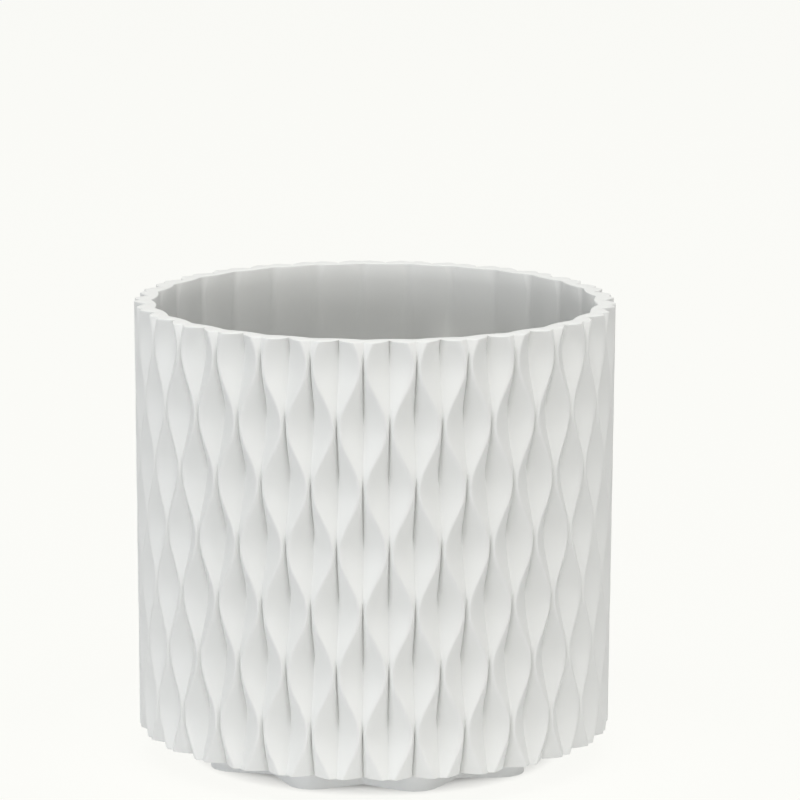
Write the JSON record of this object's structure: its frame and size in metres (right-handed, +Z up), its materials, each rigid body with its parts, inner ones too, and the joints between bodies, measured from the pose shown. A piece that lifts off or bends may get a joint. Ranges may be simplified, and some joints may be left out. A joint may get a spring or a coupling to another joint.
{
  "type": "rotating makeup brush holder",
  "caption": "Round cup with an embossed leaf pattern that spins on a low star-shaped base, with five bays inside for makeup brushes.",
  "frame": {"origin": "on the table, under the spin axis, at the bottom of the foot pads", "axes": "+Z up along the spin axis; the picture looks along +Y"},
  "size_m": [0.1349, 0.135, 0.1292],
  "materials": {
    "white_abs": "satin moulded ABS",
    "base_abs": "satin moulded ABS",
    "inner_abs": "fine textured ABS",
    "acetal": "natural acetal, low gloss",
    "cage_nylon": "natural nylon",
    "ball_steel": "polished bearing steel",
    "zinc_screw": "bright zinc plate",
    "shaft_steel": "turned steel",
    "pad_rubber": "matt grey rubber"
  },
  "bodies": {
    "base": {"base_plate": "base_abs", "lower_race": "acetal", "lower_race_screws": "zinc_screw", "pivot_shaft": "shaft_steel", "retaining_washer": "zinc_screw", "retaining_screw": "zinc_screw", "foot_pad_1": "pad_rubber", "foot_pad_2": "pad_rubber", "foot_pad_3": "pad_rubber", "foot_pad_4": "pad_rubber", "foot_pad_5": "pad_rubber"},
    "ball_ring": {"ball_cage": "cage_nylon", "bearing_balls": "ball_steel"},
    "cup": {"outer_shell": "white_abs", "floor_disc": "inner_abs", "upper_race": "acetal", "upper_race_screws": "zinc_screw", "pivot_bush": "acetal", "hub_cap": "inner_abs", "partition_1": "inner_abs", "partition_2": "inner_abs", "partition_3": "inner_abs", "partition_4": "inner_abs", "panel_guide_1": "inner_abs", "panel_guide_2": "inner_abs", "panel_guide_3": "inner_abs", "panel_guide_4": "inner_abs"}
  },
  "joints": [
    {"name": "cup_spin", "type": "hinge", "parent": "base", "child": "cup", "pos_m": [0, 0, 0.0114], "axis": [0, 0, 1], "continuous": true},
    {"name": "ball_ring_roll", "type": "hinge", "parent": "base", "child": "ball_ring", "pos_m": [0, 0, 0.0114], "axis": [0, 0, 1], "continuous": true}
  ],
  "couplings": [
    {"joint": "ball_ring_roll", "follows": "cup_spin", "ratio": 0.5}
  ]
}
